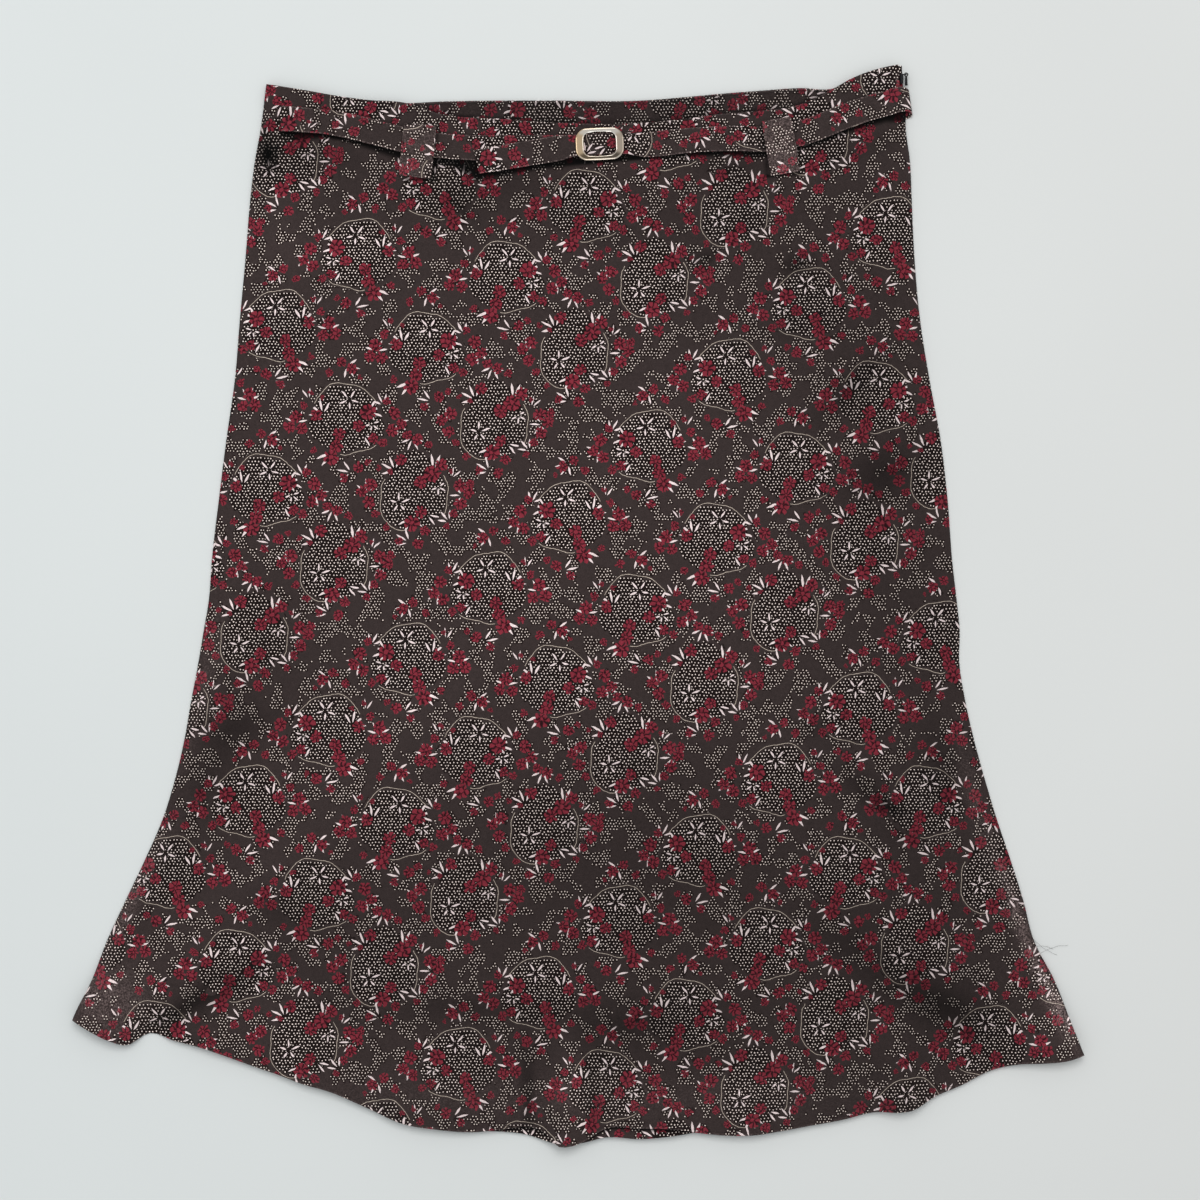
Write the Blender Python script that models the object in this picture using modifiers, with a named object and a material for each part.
"""A midi skirt laid flat, face up, with its own belt.

The pieces are the front and back panels, the facing inside the back of the waist, the belt in two straps with its
loops and buckle, and the zip in the right side seam.

Plan positions are in divisions of 0.64 mm: x runs to the right and y runs down from the waist. Heights are in
millimetres above the surface that the skirt lies on, and so are widths and thicknesses.
"""

import math
from typing import NamedTuple

import bmesh
import bpy
import numpy as np
from mathutils import Vector

DIVISION = 0.00064  # metres in a plan division
MM = 0.001
MIDDLE_X = 578.5
MIDDLE_Y = 604.25

CLOTH = 1.0  # wall of every cloth piece
SEAM = 0.3  # gap between pieces that touch
BACK_RISE = 1.35  # the back panel's height over the strap that passes under it
FRONT_TOP = BACK_RISE + 3 * CLOTH + 2 * SEAM  # outer face of the front at the waist
ON_FLOOR = CLOTH / 2
ON_FRONT = FRONT_TOP + SEAM + CLOTH / 2
ON_STRAP = ON_FRONT + CLOTH + SEAM


class Side(NamedTuple):
    """Where the side seams are at one level of the plan."""

    y: float
    left: float
    right: float


class Waist(NamedTuple):
    """The level of both top edges at one place across the waist."""

    x: float
    back: float
    front: float


class Hem(NamedTuple):
    """The level of both hems, how far the edge lifts off the floor, and the air between the two."""

    x: float
    front: float
    back: float
    lift: float
    air: float


class Fold(NamedTuple):
    """A soft ridge from one plan point to another, half as high at its width from that line, or so."""

    x0: float
    y0: float
    x1: float
    y1: float
    width: float
    height0: float
    height1: float


class StrapRow(NamedTuple):
    """A section of a strap: its middle, its slope up to the right in degrees, its width and its edges' heights."""

    x: float
    y: float
    slope: float
    width: float
    upper: float
    lower: float


class LoopRow(NamedTuple):
    """A section of a belt loop: its share of the way down and its height."""

    share: float
    height: float


class Loop(NamedTuple):
    """A belt loop: the middles of its top and bottom edges, and its width in divisions."""

    name: str
    top: tuple
    bottom: tuple
    width: float


class PassRow(NamedTuple):
    """A strap's height beside the buckle's middle, along the belt."""

    beside: float
    height: float


SIDES = [
    Side(66, 269, 901.5),
    Side(85, 267, 902.5),
    Side(100, 265, 905),
    Side(130, 261, 905.5),
    Side(160, 255.5, 909.5),
    Side(200, 250.5, 911.5),
    Side(260, 245.5, 914.5),
    Side(320, 240, 920),
    Side(380, 235, 929.5),
    Side(440, 226.5, 940.5),
    Side(500, 219, 947.5),
    Side(560, 212, 952),
    Side(600, 209, 956.5),
    Side(630, 204, 959.5),
    Side(660, 199, 959),
    Side(700, 191.5, 965),
    Side(740, 184.5, 974),
    Side(780, 175, 985),
    Side(820, 162.5, 997),
    Side(860, 145, 1010.5),
    Side(900, 126, 1023),
    Side(940, 107.5, 1033.5),
    Side(980, 92.5, 1054),
    Side(1019, 74, 1069),
    Side(1054, 66, 1082.8),
]

WAIST = [
    Waist(267, 85, 85),
    Waist(304, 91, 91),
    Waist(339, 97, 97),
    Waist(369, 101, 101),
    Waist(404, 103.5, 103.5),
    Waist(441, 102, 115),
    Waist(504, 101, 120),
    Waist(553, 101, 123.4),
    Waist(640, 101, 124),
    Waist(691, 97, 119),
    Waist(720, 94.3, 115),
    Waist(762, 91, 111.6),
    Waist(800, 88.5, 105.5),
    Waist(835, 88.3, 88.5),
    Waist(850, 81, 80),
    Waist(871, 73, 71.7),
    Waist(885, 69.5, 68),
    Waist(902, 66, 64.6),
]

HEM = [
    Hem(74, 1019, 1019, 6.0, 0.0),
    Hem(94, 1031, 1031, 6.5, 0.3),
    Hem(112, 1040, 1040, 6.0, 0.5),
    Hem(129, 1044, 1044, 4.0, 0.5),
    Hem(148, 1033, 1033, 0.6, 0.2),
    Hem(175, 1040, 1040, 2.0, 0.4),
    Hem(206, 1048, 1048, 3.2, 0.5),
    Hem(230, 1056.5, 1056.5, 3.0, 0.5),
    Hem(256, 1066, 1066, 3.0, 0.5),
    Hem(280, 1074, 1074, 3.4, 0.5),
    Hem(301, 1082, 1082, 3.6, 0.5),
    Hem(329, 1090, 1090, 3.8, 0.5),
    Hem(368, 1107, 1106, 4.0, 0.5),
    Hem(402, 1122, 1121, 4.2, 0.5),
    Hem(436, 1128, 1127, 3.8, 0.5),
    Hem(475, 1131, 1130, 3.2, 0.6),
    Hem(505, 1128, 1131, 2.2, 1.0),
    Hem(527, 1126, 1134, 1.6, 1.5),
    Hem(543, 1130, 1139, 2.6, 1.5),
    Hem(558, 1144, 1142.5, 6.0, 1.0),
    Hem(571, 1144, 1142.5, 6.2, 1.0),
    Hem(586, 1139, 1141, 4.6, 1.1),
    Hem(604, 1128, 1136.5, 3.4, 1.5),
    Hem(640, 1127, 1138, 3.4, 1.6),
    Hem(676, 1128, 1134.6, 4.0, 1.4),
    Hem(700, 1132, 1131, 3.6, 0.6),
    Hem(725, 1134, 1133, 3.8, 0.5),
    Hem(750, 1134, 1133, 3.8, 0.5),
    Hem(780, 1130, 1129, 3.4, 0.5),
    Hem(808, 1125, 1124, 3.2, 0.5),
    Hem(841, 1119, 1118, 2.6, 0.5),
    Hem(876, 1111, 1110, 2.6, 0.5),
    Hem(899, 1111, 1110, 3.8, 0.5),
    Hem(912, 1109, 1108, 3.8, 0.5),
    Hem(932, 1097, 1096, 2.4, 0.5),
    Hem(960, 1085, 1084, 1.2, 0.4),
    Hem(990, 1070, 1070, 1.6, 0.4),
    Hem(1018, 1063.5, 1063.5, 3.4, 0.5),
    Hem(1045, 1062, 1062, 5.0, 0.5),
    Hem(1068, 1059, 1059, 6.0, 0.3),
    Hem(1082.8, 1054, 1054, 6.0, 0.0),
]
HEM_RISE = 110  # divisions above the hem in which its lift dies out
HEM_OVERRUN = 22  # divisions past the hem to which the slope of its lift still runs
HEM_AIR = 60  # the same for the air between the hems

# Ridges that both panels share, the hem's flutes first
SHARED_FOLDS = [
    Fold(105, 1010, 232, 880, 26, 3.0, 1.5),
    Fold(222, 1030, 300, 950, 24, 2.2, 0.6),
    Fold(322, 1070, 340, 985, 30, 1.8, 0.5),
    Fold(430, 1112, 442, 1015, 30, 1.6, 0.5),
    Fold(563, 1136, 549, 1000, 15, 2.6, 0.5),
    Fold(655, 1118, 650, 1020, 32, 1.4, 0.4),
    Fold(745, 1122, 736, 1015, 30, 1.8, 0.5),
    Fold(905, 1098, 872, 980, 24, 2.4, 0.6),
    Fold(1052, 1030, 1000, 900, 26, 2.6, 1.0),
]
# Ridges of the front panel alone
FRONT_FOLDS = [
    Fold(752, 195, 776, 300, 13, 1.3, 0.7),
    Fold(452, 200, 474, 226, 8, 0.9, 0.5),
    Fold(690, 262, 742, 232, 14, 0.9, 0.6),
    Fold(812, 420, 884, 338, 18, 0.8, 1.0),
    Fold(858, 512, 912, 452, 16, 0.7, 1.0),
    Fold(300, 330, 352, 262, 20, 0.6, 0.9),
    Fold(322, 705, 286, 930, 26, 0.5, 0.9),
    Fold(470, 700, 452, 960, 30, 0.4, 0.9),
    Fold(610, 640, 622, 970, 30, 0.3, 0.9),
    Fold(770, 700, 800, 960, 28, 0.4, 1.0),
    Fold(866, 770, 902, 830, 11, 1.0, 0.8),
    Fold(900, 690, 944, 930, 22, 0.5, 0.9),
]

EDGE_COLUMNS = (0.007, 0.014, 0.97, 0.993)  # shares of the width, besides a column for each row of HEM
PANEL_ROWS = 26
WAIST_REACH = 0.13  # share of the length in which a top edge's own shape dies out
HEM_REACH = 0.07
ZIP_NOTCH = 3.6  # how far the front is cut back at the slider
ZIP_NOTCH_Y = (86, 98)

FACING_LEFT = 281
FACING_RIGHT = 886
FACING_DEPTH = 62
FACING_INSET = 1
FACING_COLUMNS = 26
FACING_END_Y = (176, 236)  # where the front settles again below the facing
STRAP_END_Y = (150, 240)  # where the back settles again below the strap
AIR = 1.2  # air between the panels at mid-length
AIR_Y = (240, 340)

ZIP_TOP_Y = 91
ZIP_END_Y = 350
ZIP_INSET = (3, 12)
ZIP_ROWS = 14

STRAP_WIDTH = 16.0
WRAP_X = 905.5
WRAP_RADIUS = 2.625
WRAP_STEPS = 6

# From the left seam across the back to the right edge, under the skirt
LONG_STRAP_BACK = [
    StrapRow(284, 123.0, -1.0, STRAP_WIDTH, ON_FLOOR, ON_FLOOR),
    StrapRow(440, 126.0, -0.5, STRAP_WIDTH, ON_FLOOR, ON_FLOOR),
    StrapRow(600, 126.0, 0.5, STRAP_WIDTH, ON_FLOOR, ON_FLOOR),
    StrapRow(760, 120.0, 3.5, STRAP_WIDTH, ON_FLOOR, ON_FLOOR),
    StrapRow(870, 107.5, 6.5, STRAP_WIDTH, ON_FLOOR, ON_FLOOR),
]
# From the right edge over the front to the buckle
LONG_STRAP_FRONT = [
    StrapRow(885, 105.0, 14, STRAP_WIDTH, ON_FRONT, ON_FRONT + 0.7),
    StrapRow(862, 111.6, 18, STRAP_WIDTH, ON_FRONT, ON_FRONT + 1.2),
    StrapRow(840, 119.5, 20, STRAP_WIDTH, ON_FRONT, ON_FRONT + 1.0),
    StrapRow(822, 127.0, 20, STRAP_WIDTH, ON_FRONT, ON_FRONT + 0.6),
    StrapRow(803, 133.6, 15, STRAP_WIDTH, ON_FRONT, ON_FRONT + 0.2),
    StrapRow(787, 137.6, 10, STRAP_WIDTH, ON_FRONT, ON_FRONT),
    StrapRow(765, 140.3, 3, STRAP_WIDTH, ON_FRONT, ON_FRONT),
    StrapRow(738, 139.8, 0, STRAP_WIDTH, ON_FRONT, ON_FRONT + 0.6),
    StrapRow(712, 140.3, 2, STRAP_WIDTH, ON_FRONT, ON_FRONT + 0.8),
    StrapRow(688, 141.8, 4, STRAP_WIDTH, ON_FRONT, ON_FRONT + 0.6),
    StrapRow(664, 144.4, 5, STRAP_WIDTH, ON_FRONT, ON_FRONT + 0.3),
    StrapRow(642, 146.2, 3, STRAP_WIDTH - 0.6, ON_FRONT, ON_FRONT),
]
# The tail, on top of the short strap
LONG_STRAP_TAIL = [
    StrapRow(560, 149.5, 7, STRAP_WIDTH, ON_STRAP, ON_STRAP),
    StrapRow(540, 152.8, 9, STRAP_WIDTH, ON_STRAP, ON_STRAP),
    StrapRow(515, 157.0, 10, STRAP_WIDTH, ON_STRAP, ON_STRAP),
    StrapRow(495, 160.6, 11, STRAP_WIDTH - 0.4, ON_STRAP, ON_STRAP),
    StrapRow(477, 163.4, 11, STRAP_WIDTH - 0.8, ON_STRAP + 0.3, ON_STRAP),
]
# From the left side seam to the buckle
SHORT_STRAP = [
    StrapRow(281, 119.6, -6, STRAP_WIDTH, ON_FRONT, ON_FRONT),
    StrapRow(300, 121.0, -6, STRAP_WIDTH, ON_FRONT, ON_FRONT + 1.2),
    StrapRow(322, 122.8, -7, STRAP_WIDTH, ON_FRONT, ON_FRONT + 1.8),
    StrapRow(345, 126.5, -11, STRAP_WIDTH, ON_FRONT, ON_FRONT + 1.6),
    StrapRow(370, 132.4, -14, STRAP_WIDTH, ON_FRONT, ON_FRONT + 1.0),
    StrapRow(392, 138.0, -14, STRAP_WIDTH, ON_FRONT, ON_FRONT + 0.2),
    StrapRow(410, 142.2, -12, STRAP_WIDTH, ON_FRONT, ON_FRONT),
    StrapRow(430, 145.6, -8, STRAP_WIDTH, ON_FRONT, ON_FRONT),
    StrapRow(452, 147.8, -4, STRAP_WIDTH, ON_FRONT, ON_FRONT),
    StrapRow(475, 148.9, -1, STRAP_WIDTH, ON_FRONT, ON_FRONT),
    StrapRow(520, 148.9, 1, STRAP_WIDTH, ON_FRONT, ON_FRONT),
    StrapRow(562, 148.0, 2.5, STRAP_WIDTH - 0.8, ON_FRONT, ON_FRONT),
]

LOOPS = [
    Loop("belt_loop_left", (421, 125.8), (415.2, 178.2), 32),
    Loop("belt_loop_right", (775.6, 120.5), (785, 174.6), 29),
]
LOOP_ROWS = [
    LoopRow(0.00, ON_FRONT + 0.2),
    LoopRow(0.05, ON_STRAP),
    LoopRow(0.20, ON_STRAP + 0.1),
    LoopRow(0.40, ON_STRAP + 0.1),
    LoopRow(0.62, ON_STRAP),
    LoopRow(0.70, ON_STRAP - 0.3),
    LoopRow(0.80, ON_FRONT + 0.3),
    LoopRow(0.90, ON_FRONT),
    LoopRow(1.00, ON_FRONT),
]
LOOP_COLUMNS = 3

BUCKLE_X = 599.7
BUCKLE_Y = 145.7
BUCKLE_TURN = 2.5  # degrees, counter-clockwise
BUCKLE_SIZE = (29.8, 19.8)
BUCKLE_OPENING = (19.9, 15.2)
BUCKLE_CORNERS = (6.2, 3.6)
BUCKLE_BOW = 0.5  # how far each side swells at its middle
BUCKLE_THICK = 1.8
BUCKLE_LOW = ON_STRAP + CLOTH / 2 + SEAM
BUCKLE_BEVEL = 0.45
CORNER_STEPS = 6
SIDE_STEPS = 3
BAR_WIDE = 1.4
BAR_THICK = 1.0
BAR_REACH = 8.6
IN_BUCKLE = 14.4  # the straps' width inside the frame
BAR_LOOP = 1.3
BAR_LOOP_SHIFT = 0.6
BAR_LOOP_STEPS = 6
OVER_BAR = ON_FRONT + 2 * BAR_LOOP + CLOTH + SEAM
BUCKLE_PASS = [
    PassRow(17.0, ON_FRONT),
    PassRow(14.0, ON_FRONT + 0.2),
    PassRow(11.0, ON_FRONT + 0.9),
    PassRow(9.6, ON_FRONT + 1.25),
    PassRow(6.5, OVER_BAR - 1.35),
    PassRow(3.3, OVER_BAR - 0.1),
    PassRow(0.0, OVER_BAR),
    PassRow(-3.4, OVER_BAR),
    PassRow(-6.3, OVER_BAR - 1.2),
    PassRow(-9.6, ON_STRAP),
    PassRow(-15.5, ON_STRAP),
]

SLIDER_X = (899.8, 902.7)
SLIDER_Y = (74.8, 84.6)
SLIDER_Z = (2.7, 5.0)
SLIDER_BEVEL = 0.25
PIVOT_X = 905.6
PIVOT_Y = 75.6
PIVOT_Z = 3.85
BAIL_RADIUS = 0.35
BAIL_ARM = 0.5  # side of the square arms that hold the bail's post
BAIL_REACH = 1.3  # height between the arms
RING_OUTER = 1.35
RING_HOLE = 0.7
PULL_THICK = 0.7
PULL_WIDE = (1.2, 1.9)
PULL_END = 7.0


class Look(NamedTuple):
    """A plain finish."""

    name: str
    colour: tuple
    roughness: float
    metallic: float


CLOTH_LOOK = Look("printed_chiffon", (0.085, 0.052, 0.050), 0.85, 0.0)
BUCKLE_LOOK = Look("pale_gold_metal", (0.62, 0.56, 0.50), 0.25, 1.0)
ZIP_LOOK = Look("dark_metal", (0.09, 0.09, 0.11), 0.35, 1.0)
TAPE_LOOK = Look("zip_tape", (0.035, 0.028, 0.026), 0.9, 0.0)


def smooth(low, high, value):
    """0 up to low, 1 from high on, and an even slope between them."""
    share = min(max((value - low) / (high - low), 0.0), 1.0)
    return share * share * (3 - 2 * share)


def read(table, at, by, wanted):
    """A table's column, read between its rows."""
    return float(np.interp(at, [getattr(row, by) for row in table], [getattr(row, wanted) for row in table]))


def place(x, y, height):
    """The world position of a plan point."""
    return Vector(((x - MIDDLE_X) * DIVISION, (MIDDLE_Y - y) * DIVISION, height * MM))


def right_edge(y, front):
    """The right side seam, cut back on the front beside the zip's slider."""
    notch = ZIP_NOTCH * (1 - smooth(*ZIP_NOTCH_Y, y)) if front else 0.0
    return read(SIDES, y, "y", "right") - notch


def plan_point(u, v, front):
    """A panel's plan point at a share u of the way across and v of the way down, from its four edges."""
    side = "front" if front else "back"
    left_top = WAIST[0].back
    right_top = WAIST[-1].back
    left_y = left_top + v * (HEM[0].back - left_top)
    right_y = right_top + v * (HEM[-1].back - right_top)
    left_x = read(SIDES, left_y, "y", "left")
    right_x = right_edge(right_y, front)
    top_x = WAIST[0].x + u * (right_edge(right_top, front) - WAIST[0].x)
    hem_x = HEM[0].x + u * (HEM[-1].x - HEM[0].x)
    corner_x = (1 - v) * ((1 - u) * WAIST[0].x + u * right_edge(right_top, front)) + v * hem_x
    x = (1 - v) * top_x + v * hem_x + (1 - u) * left_x + u * right_x - corner_x
    across = (1 - u) * left_y + u * right_y
    straight_top = (1 - u) * left_top + u * right_top
    straight_hem = (1 - u) * HEM[0].back + u * HEM[-1].back
    base_top = read(WAIST, top_x, "x", "back") - straight_top
    base_hem = read(HEM, hem_x, "x", "back") - straight_hem
    y = across + (1 - v) * base_top + v * base_hem
    own_top = read(WAIST, top_x, "x", side) - read(WAIST, top_x, "x", "back")
    own_hem = read(HEM, hem_x, "x", side) - read(HEM, hem_x, "x", "back")
    y += own_top * (1 - smooth(0, WAIST_REACH, v)) + own_hem * smooth(1 - HEM_REACH, 1, v)
    return x, y


def fold_height(folds, x, y):
    """The height that a table's ridges add at a plan point."""
    total = 0.0
    for fold in folds:
        run_x = fold.x1 - fold.x0
        run_y = fold.y1 - fold.y0
        along = ((x - fold.x0) * run_x + (y - fold.y0) * run_y) / (run_x**2 + run_y**2)
        along = min(max(along, 0.0), 1.0)
        off = math.hypot(x - fold.x0 - along * run_x, y - fold.y0 - along * run_y)
        height = fold.height0 + along * (fold.height1 - fold.height0)
        total += height * math.exp(-((off / fold.width) ** 2))
    return total


def back_under(x, y):
    """The height of the back panel's underside: flat on the floor but for the strap, the hem and the folds."""
    strap = BACK_RISE * (1 - smooth(*STRAP_END_Y, y))
    hem = read(HEM, x, "x", "back")
    near_hem = smooth(hem - HEM_RISE, hem + HEM_OVERRUN, y) / smooth(-HEM_RISE, HEM_OVERRUN, 0)
    settled = smooth(620, 900, y)
    return strap + read(HEM, x, "x", "lift") * near_hem + settled * fold_height(SHARED_FOLDS, x, y)


def panel_gap(x, y):
    """The gap between the back panel's upper face and the front's underside."""
    left = read(SIDES, y, "y", "left")
    right = read(SIDES, y, "y", "right")
    hem = read(HEM, x, "x", "front")
    facing = (1 - smooth(*FACING_END_Y, y)) * smooth(0, 9, x - left)
    zip_ridge = (1 - smooth(ZIP_END_Y + 6, ZIP_END_Y + 50, y)) * smooth(right - 32, right - 20, x)
    edges = smooth(0, 40, x - left) * smooth(0, 40, right - x)
    body = edges * smooth(*AIR_Y, y) * (1 - smooth(hem - 2 * HEM_AIR, hem - HEM_AIR, y))
    free = smooth(0, 30, x - left) * smooth(0, 30, right - x) * smooth(185, 215, y)
    free *= 1 - smooth(hem - HEM_AIR, hem, y)
    at_hem = read(HEM, x, "x", "air") * smooth(hem - HEM_AIR, hem, y)
    filled = (CLOTH + SEAM) * max(facing, zip_ridge)
    return SEAM + max(filled, AIR * body) + free * fold_height(FRONT_FOLDS, x, y) + at_hem


def front_under(x, y):
    """The height of the front panel's underside."""
    return back_under(x, y) + CLOTH + panel_gap(x, y)


def finish(look):
    """A Principled material of this look, made once."""
    material = bpy.data.materials.get(look.name)
    if material:
        return material
    material = bpy.data.materials.new(look.name)
    material.use_nodes = True
    shader = material.node_tree.nodes["Principled BSDF"]
    shader.inputs["Base Color"].default_value = (*look.colour, 1.0)
    shader.inputs["Roughness"].default_value = look.roughness
    shader.inputs["Metallic"].default_value = look.metallic
    material.diffuse_color = (*look.colour, 1.0)
    return material


def add_object(name, bm, collection, look=None):
    """An object that holds this bmesh."""
    mesh = bpy.data.meshes.new(name)
    bm.to_mesh(mesh)
    bm.free()
    obj = bpy.data.objects.new(name, mesh)
    collection.objects.link(obj)
    if look:
        mesh.materials.append(finish(look))
    return obj


def add_sheet(name, columns, rows, corner, collection, look, offset=0.0, thickness=CLOTH):
    """A sheet of cloth, its points given by corner(column, row), with a solid wall."""
    bm = bmesh.new()
    bmesh.ops.create_grid(bm, x_segments=columns, y_segments=rows, size=1)
    for vert in bm.verts:
        column = round((vert.co.x + 1) / 2 * columns)
        row = round((vert.co.y + 1) / 2 * rows)
        vert.co = corner(column, row)
    obj = add_object(name, bm, collection, look)
    wall = obj.modifiers.new("wall", "SOLIDIFY")
    wall.thickness = thickness * MM
    wall.offset = offset
    wall.use_even_offset = True
    return obj


def add_panel(name, front, collection):
    """The front or back panel, over columns and rows that both share."""
    wide = HEM[-1].x - HEM[0].x
    columns = sorted({(row.x - HEM[0].x) / wide for row in HEM} | set(EDGE_COLUMNS))
    steps = [row / PANEL_ROWS for row in range(PANEL_ROWS + 1)]
    rows = [step - 0.5 * math.sin(2 * math.pi * step) / (2 * math.pi) for step in steps]
    height = front_under if front else back_under

    def corner(column, row):
        x, y = plan_point(columns[column], rows[PANEL_ROWS - row], front)
        return place(x, y, height(x, y))

    return add_sheet(name, len(columns) - 1, PANEL_ROWS, corner, collection, CLOTH_LOOK, offset=1.0)


def add_facing(collection):
    """The facing on the inner side of the back's top edge."""

    def corner(column, row):
        x = FACING_LEFT + column / FACING_COLUMNS * (FACING_RIGHT - FACING_LEFT)
        y = read(WAIST, x, "x", "back") + FACING_INSET + (1 - row / 2) * FACING_DEPTH
        return place(x, y, back_under(x, y) + CLOTH + SEAM)

    return add_sheet("back_waist_facing", FACING_COLUMNS, 2, corner, collection, CLOTH_LOOK, offset=1.0)


def add_zip_tape(collection):
    """The zip's tape with its chain, a strip between the panels beside the right seam."""

    def corner(column, row):
        y = ZIP_END_Y + row / ZIP_ROWS * (ZIP_TOP_Y - ZIP_END_Y)
        x = read(SIDES, y, "y", "right") - ZIP_INSET[1 - column]
        return place(x, y, back_under(x, y) + CLOTH + SEAM)

    return add_sheet("zip_tape", 1, ZIP_ROWS, corner, collection, TAPE_LOOK, offset=1.0)


def add_strap(name, sections, collection):
    """A strap through its sections, each a middle point, a direction across and a width."""

    def corner(column, row):
        section = sections[column]
        side = row / 2 - 0.5
        lean = math.radians(section.slope)
        middle = place(section.x, section.y, 0.5 * (section.upper + section.lower))
        rise = section.upper - section.lower
        level = math.sqrt(section.width**2 - rise**2)
        across = Vector((-math.sin(lean) * level, math.cos(lean) * level, rise)) * MM
        return middle + side * across

    return add_sheet(name, len(sections) - 1, 2, corner, collection, CLOTH_LOOK)


def beside_buckle(beside, height, width=IN_BUCKLE):
    """A strap's section at this distance from the buckle's middle, along the belt."""
    turn = math.radians(BUCKLE_TURN)
    x = BUCKLE_X + beside * MM / DIVISION * math.cos(turn)
    y = BUCKLE_Y - beside * MM / DIVISION * math.sin(turn)
    return StrapRow(x, y, BUCKLE_TURN, width, height, height)


def wrap_sections():
    """The long strap's sections round the skirt's right edge, from the floor to the front."""
    below = LONG_STRAP_BACK[-1]
    above = LONG_STRAP_FRONT[0]
    found = []
    for step in range(WRAP_STEPS + 1):
        share = step / WRAP_STEPS
        angle = math.pi * (share - 0.5)
        x = WRAP_X + WRAP_RADIUS * math.cos(angle) * MM / DIVISION
        y = below.y - 1.0 + share * (above.y - 3.0 - below.y)
        height = ON_FLOOR + WRAP_RADIUS * (1 + math.sin(angle))
        slope = below.slope + share * (above.slope - 4 - below.slope)
        found.append(StrapRow(x, y, slope, STRAP_WIDTH, height, height))
    return found


def add_belt(collection):
    """Both straps: the short one ends in a loop round the buckle's bar, and the long one threads the buckle."""
    round_bar = [beside_buckle(-9.0, ON_FRONT), beside_buckle(-3.0, ON_FRONT)]
    for step in range(BAR_LOOP_STEPS + 1):
        angle = math.pi * (step / BAR_LOOP_STEPS - 0.5)
        beside = BAR_LOOP_SHIFT + BAR_LOOP * math.cos(angle)
        round_bar.append(beside_buckle(beside, ON_FRONT + BAR_LOOP * (1 + math.sin(angle))))
    round_bar.append(beside_buckle(-2.8, ON_FRONT + 2 * BAR_LOOP))
    add_strap("belt_strap_short", SHORT_STRAP + round_bar, collection)
    threaded = [beside_buckle(row.beside, row.height) for row in BUCKLE_PASS]
    long_strap = LONG_STRAP_BACK + wrap_sections() + LONG_STRAP_FRONT + threaded + LONG_STRAP_TAIL
    add_strap("belt_strap_long", long_strap, collection)


def add_loops(collection):
    """The belt loops, each sewn to the front above and below the straps."""
    for loop in LOOPS:

        def corner(column, row, loop=loop):
            section = LOOP_ROWS[len(LOOP_ROWS) - 1 - row]
            across = (column / LOOP_COLUMNS - 0.5) * loop.width
            run_x = loop.bottom[0] - loop.top[0]
            run_y = loop.bottom[1] - loop.top[1]
            length = math.hypot(run_x, run_y)
            x = loop.top[0] + section.share * run_x + across * run_y / length
            y = loop.top[1] + section.share * run_y - across * run_x / length
            return place(x, y, section.height)

        add_sheet(loop.name, LOOP_COLUMNS, len(LOOP_ROWS) - 1, corner, collection, CLOTH_LOOK)


def rounded_outline(wide, high, corner, bow):
    """Points round a rectangle with round corners and slightly bowed sides, about its middle."""
    centres = [(1, 1), (-1, 1), (-1, -1), (1, -1)]
    arc = []
    for quarter, (sign_x, sign_y) in enumerate(centres):
        for step in range(CORNER_STEPS + 1):
            angle = math.pi / 2 * (quarter + step / CORNER_STEPS)
            x = sign_x * (wide / 2 - corner) + corner * math.cos(angle)
            y = sign_y * (high / 2 - corner) + corner * math.sin(angle)
            arc.append((x, y))
    outline = []
    per_corner = CORNER_STEPS + 1
    for index, point in enumerate(arc):
        outline.append(point)
        following = arc[(index + 1) % len(arc)]
        if index % per_corner == CORNER_STEPS:
            for step in range(1, SIDE_STEPS):
                share = step / SIDE_STEPS
                outline.append(
                    (
                        point[0] + share * (following[0] - point[0]),
                        point[1] + share * (following[1] - point[1]),
                    )
                )
    bowed = []
    for x, y in outline:
        swell_x = bow * (1 - (2 * y / high) ** 2) * (1 if x > 0 else -1) * min(1.0, abs(2 * x / wide) ** 4)
        swell_y = bow * (1 - (2 * x / wide) ** 2) * (1 if y > 0 else -1) * min(1.0, abs(2 * y / high) ** 4)
        bowed.append((x + swell_x, y + swell_y))
    return bowed


def join(obj, other, operation):
    """Adds an exact Boolean of a helper to an object."""
    step = obj.modifiers.new(other.name, "BOOLEAN")
    step.object = other
    step.operation = operation
    step.solver = "EXACT"


def add_box(name, low, high, collection, look=None, bevel=0.0):
    """A box between two world corners, with its edges bevelled by this many millimetres."""
    bm = bmesh.new()
    bmesh.ops.create_cube(bm, size=1)
    for vert in bm.verts:
        vert.co = Vector(high[i] if vert.co[i] > 0 else low[i] for i in range(3))
    if bevel:
        bmesh.ops.bevel(
            bm, geom=bm.edges[:], offset=bevel * MM, segments=2, profile=0.5, affect="EDGES", material=-1
        )
    return add_object(name, bm, collection, look)


def add_cylinder(name, middle, radius, depth, collection, look=None, steps=20):
    """An upright cylinder about a world point, sizes in millimetres, its origin at that point."""
    bm = bmesh.new()
    bmesh.ops.create_cone(
        bm, cap_ends=True, segments=steps, radius1=radius * MM, radius2=radius * MM, depth=depth * MM
    )
    obj = add_object(name, bm, collection, look)
    obj.location = middle
    return obj


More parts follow.
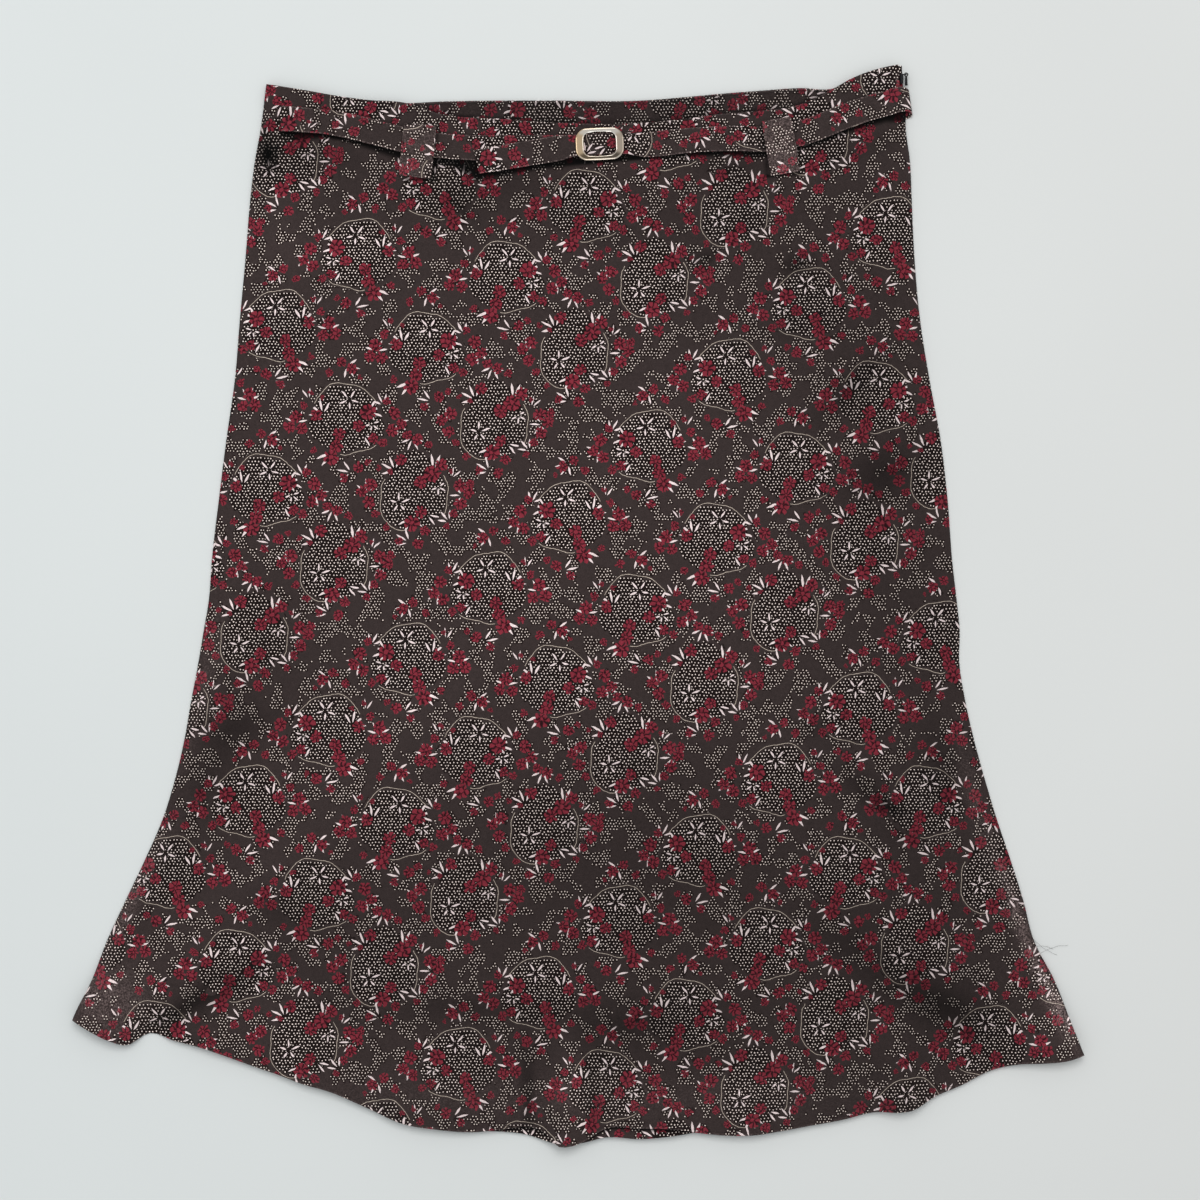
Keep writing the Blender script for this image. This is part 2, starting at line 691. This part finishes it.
def add_buckle(collection, helpers):
    """The buckle's frame, lofted round between its outer and inner outlines, and its centre bar."""
    outer = rounded_outline(*BUCKLE_SIZE, BUCKLE_CORNERS[0], BUCKLE_BOW)
    inner = rounded_outline(*BUCKLE_OPENING, BUCKLE_CORNERS[1], 0.5 * BUCKLE_BOW)
    edge = BUCKLE_BEVEL
    top = BUCKLE_LOW + BUCKLE_THICK
    # Share of the way in from the outer outline, a step in mm from there, and the height
    profile = [
        (0, 0.0, BUCKLE_LOW + edge),
        (0, edge, BUCKLE_LOW),
        (1, -edge, BUCKLE_LOW),
        (1, 0.0, BUCKLE_LOW + edge),
        (1, 0.0, top - edge),
        (1, -edge, top),
        (0, 1.6 * edge, top),
        (0, 0.0, top - 1.4 * edge),
    ]
    bm = bmesh.new()
    rings = []
    for outside, inside in zip(outer, inner, strict=True):
        run = Vector((inside[0] - outside[0], inside[1] - outside[1], 0))
        ring = []
        for share, step, height in profile:
            point = Vector((outside[0], outside[1], 0)) + run * share + run.normalized() * step
            ring.append(bm.verts.new((point.x * MM, point.y * MM, height * MM)))
        rings.append(ring)
    for index, ring in enumerate(rings):
        following = rings[(index + 1) % len(rings)]
        for k in range(len(ring)):
            m = (k + 1) % len(ring)
            bm.faces.new((ring[k], ring[m], following[m], following[k]))
    bmesh.ops.recalc_face_normals(bm, faces=bm.faces[:])
    frame = add_object("belt_buckle", bm, collection, BUCKLE_LOOK)
    frame.location = place(BUCKLE_X, BUCKLE_Y, 0)
    frame.rotation_euler.z = math.radians(BUCKLE_TURN)
    bar_low = BUCKLE_LOW - SEAM - BAR_THICK
    parts = [("bar", -BAR_REACH, BAR_REACH, bar_low + BAR_THICK)]
    for name, side in (("bar_top", 1), ("bar_bottom", -1)):
        near = side * BAR_REACH
        far = side * (BAR_REACH - 0.9)
        parts.append((name, min(near, far), max(near, far), BUCKLE_LOW + 0.5 * BUCKLE_THICK))
    for name, low_y, high_y, high_z in parts:
        half = BAR_WIDE / 2
        helper = add_box(
            name,
            Vector((-half, low_y, bar_low)) * MM,
            Vector((half, high_y, high_z)) * MM,
            helpers,
        )
        helper.location = frame.location
        helper.rotation_euler.z = frame.rotation_euler.z
        join(frame, helper, "UNION")
    return frame


def add_zip(collection, helpers):
    """The zip's slider with the bail on its outer face, and the pull tab that hangs on the bail's post."""
    low = place(SLIDER_X[0], SLIDER_Y[1], SLIDER_Z[0])
    high = place(SLIDER_X[1], SLIDER_Y[0], SLIDER_Z[1])
    slider = add_box("zip_slider", low, high, collection, ZIP_LOOK, bevel=SLIDER_BEVEL)
    pivot = place(PIVOT_X, PIVOT_Y, PIVOT_Z)
    half = BAIL_ARM / 2
    for name, side in (("bail_top", 1), ("bail_bottom", -1)):
        middle = PIVOT_Z + side * (BAIL_REACH / 2 + half)
        arm_low = Vector((high.x - 0.5 * MM, pivot.y - half * MM, (middle - half) * MM))
        arm_high = Vector((pivot.x + 1.2 * half * MM, pivot.y + half * MM, (middle + half) * MM))
        join(slider, add_box(name, arm_low, arm_high, helpers), "UNION")
    post = add_cylinder("bail_post", pivot, BAIL_RADIUS * 0.7, BAIL_REACH + BAIL_ARM, helpers, steps=12)
    join(slider, post, "UNION")

    pull = add_cylinder("zip_pull", pivot, RING_OUTER, PULL_THICK, collection, ZIP_LOOK)
    bm = bmesh.new()
    bmesh.ops.create_cube(bm, size=1)
    for vert in bm.verts:
        end = vert.co.y < 0
        wide = PULL_WIDE[1] if end else PULL_WIDE[0]
        vert.co.x *= wide * MM
        vert.co.y = -(PULL_END if end else 0.5 * (RING_OUTER + RING_HOLE)) * MM
        vert.co.z *= PULL_THICK * 0.999 * MM
    upright = [edge for edge in bm.edges if abs(edge.verts[0].co.z - edge.verts[1].co.z) > 0.1 * MM]
    ends = [edge for edge in upright if edge.verts[0].co.y < -0.5 * PULL_END * MM]
    bmesh.ops.bevel(bm, geom=ends, offset=0.5 * MM, segments=3, profile=0.5, affect="EDGES", material=-1)
    stem = add_object("pull_stem", bm, helpers)
    stem.location = pivot
    join(pull, stem, "UNION")
    join(pull, add_cylinder("pull_hole", pivot, RING_HOLE, 4 * PULL_THICK, helpers), "DIFFERENCE")


def start():
    """Clears the scene and makes the part's collection and its helpers'."""
    for obj in list(bpy.data.objects):
        bpy.data.objects.remove(obj, do_unlink=True)
    scene = bpy.context.scene
    part = bpy.data.collections.new("midi_skirt")
    helpers = bpy.data.collections.new("helpers")
    scene.collection.children.link(part)
    scene.collection.children.link(helpers)
    return part, helpers


def main():
    """Builds the skirt."""
    part, helpers = start()
    add_panel("back_panel", False, part)
    add_panel("front_panel", True, part)
    add_facing(part)
    add_belt(part)
    add_loops(part)
    add_buckle(part, helpers)
    add_zip_tape(part)
    add_zip(part, helpers)
    for helper in helpers.objects:
        helper.hide_render = True
        helper.display_type = "WIRE"
    bpy.context.view_layer.update()


main()
